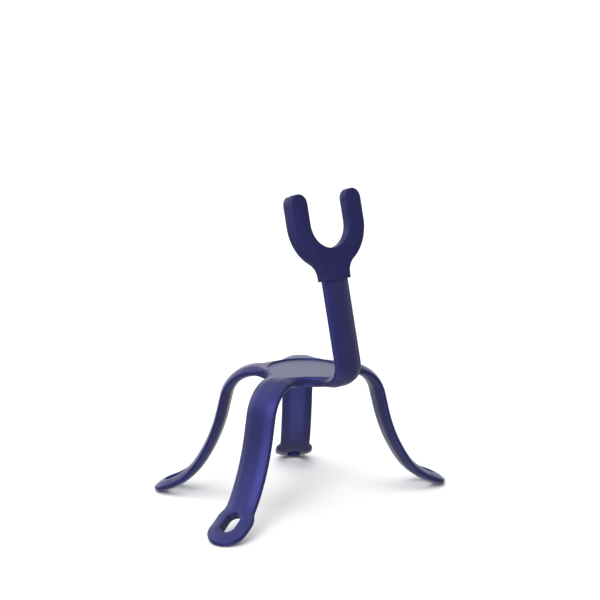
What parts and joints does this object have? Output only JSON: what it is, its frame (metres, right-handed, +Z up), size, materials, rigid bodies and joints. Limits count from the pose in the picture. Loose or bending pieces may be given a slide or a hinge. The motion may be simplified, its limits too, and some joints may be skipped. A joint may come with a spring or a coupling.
{
  "type": "flexible phone mount",
  "caption": "Flexible phone mount: a soft star-shaped stand with bendable legs on slotted feet and a raised arm with a fork cradle for a phone grip.",
  "frame": {"origin": "on the hub's axis, in the table plane that the four feet stand on", "axes": "+Z up along the hub's axis, -Y to the phone arm and the user, +X to the user's right"},
  "size_m": [0.1616, 0.1075, 0.17],
  "materials": {
    "silicone": "satin navy silicone",
    "band_metal": "annealed, plain",
    "plate_steel": "plain sheet",
    "cradle_plastic": "matte navy, fine grain"
  },
  "bodies": {
    "hub": {"hub": "silicone", "hub_plate": "plate_steel"},
    "leg_right_front": {"leg_right_front": "silicone", "leg_band_right_front": "band_metal"},
    "leg_right_rear": {"leg_right_rear": "silicone", "leg_band_right_rear": "band_metal"},
    "leg_left_rear": {"leg_left_rear": "silicone", "leg_band_left_rear": "band_metal"},
    "leg_left_front": {"leg_left_front": "silicone", "leg_band_left_front": "band_metal"},
    "arm": {"phone_arm": "silicone", "arm_band": "band_metal"},
    "cradle": {"phone_cradle": "cradle_plastic"}
  },
  "joints": [
    {"name": "bend_right_front", "type": "hinge", "parent": "hub", "child": "leg_right_front", "pos_m": [0.02356, -0.00766, 0.07123], "axis": [-0.309, -0.9511, 0], "range_deg": [-35, 50], "deforming": ["leg_right_front", "leg_band_right_front"]},
    {"name": "bend_right_rear", "type": "hinge", "parent": "hub", "child": "leg_right_rear", "pos_m": [0.01456, 0.02004, 0.07123], "axis": [0.809, -0.5878, 0], "range_deg": [-35, 50], "deforming": ["leg_right_rear", "leg_band_right_rear"]},
    {"name": "bend_left_rear", "type": "hinge", "parent": "hub", "child": "leg_left_rear", "pos_m": [-0.01456, 0.02004, 0.07123], "axis": [0.809, 0.5878, 0], "range_deg": [-35, 50], "deforming": ["leg_left_rear", "leg_band_left_rear"]},
    {"name": "bend_left_front", "type": "hinge", "parent": "hub", "child": "leg_left_front", "pos_m": [-0.02356, -0.00766, 0.07123], "axis": [-0.309, 0.9511, 0], "range_deg": [-35, 50], "deforming": ["leg_left_front", "leg_band_left_front"]},
    {"name": "bend_phone_arm", "type": "hinge", "parent": "hub", "child": "arm", "pos_m": [0, -0.02477, 0.07123], "axis": [-1, 0, 0], "range_deg": [-75, 25], "deforming": ["phone_arm", "arm_band"]},
    {"name": "tilt_cradle", "type": "hinge", "parent": "arm", "child": "cradle", "pos_m": [0, -0.02374, 0.12475], "axis": [-1, 0, 0], "range_deg": [-25, 25], "deforming": ["phone_arm", "arm_band"]}
  ]
}
